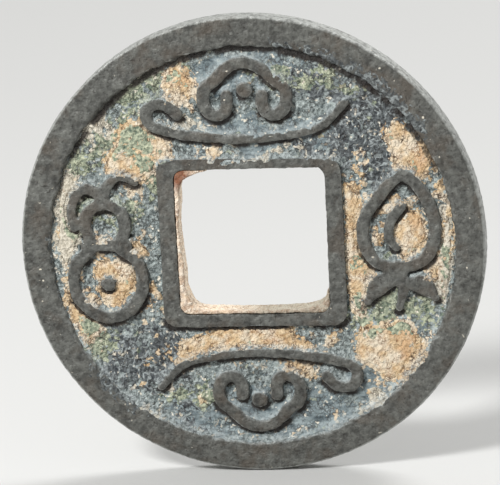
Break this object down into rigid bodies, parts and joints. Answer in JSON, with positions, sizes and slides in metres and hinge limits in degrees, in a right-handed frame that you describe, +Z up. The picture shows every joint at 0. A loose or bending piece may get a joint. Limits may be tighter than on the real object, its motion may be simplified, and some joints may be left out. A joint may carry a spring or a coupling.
{
  "type": "charm coin",
  "caption": "Round cast bronze charm coin with a square hole, a raised rim and collar on each face, raised scroll ornament on the obverse and dry earth in its recesses.",
  "frame": {"origin": "centre of the coin's round outline and the middle of its thickness; the middle of the square hole lies 0.26 mm above it", "axes": "+Z up across the coin, which stands on its rim as pictured; the hole runs along Y; the obverse faces -Y; +X is to the right as the obverse is seen"},
  "size_m": [0.025, 0.0016, 0.025],
  "materials": {
    "bronze": "dark brown-grey bronze patina, worn lighter on its edges",
    "field_patina": "bronze under blue-grey and green mineral crust",
    "earth": "dry ochre burial earth, granular",
    "pale_earth": "dry cream burial earth, granular"
  },
  "bodies": {
    "root": {"web": "field_patina", "obverse_rim": "bronze", "reverse_rim": "bronze", "obverse_collar": "bronze", "reverse_collar": "bronze", "upper_cloud_head": "bronze", "upper_cloud_tail": "bronze", "upper_cloud_pearl": "bronze", "lower_cloud_head": "bronze", "lower_cloud_tail": "bronze", "lower_cloud_pearl": "bronze", "gourd_outline": "bronze", "gourd_seed": "bronze", "peach_outline": "bronze", "peach_crease": "bronze", "earth_under_hole": "earth", "earth_right_of_hole": "earth", "earth_upper_right": "earth", "earth_lower_right": "earth", "earth_upper_left": "earth", "earth_top_left": "earth", "earth_lower_left": "earth", "earth_in_gourd": "earth", "earth_in_peach": "earth", "earth_right_edge": "pale_earth", "earth_left_edge": "pale_earth", "earth_hole_lining": "pale_earth"}
  },
  "joints": []
}
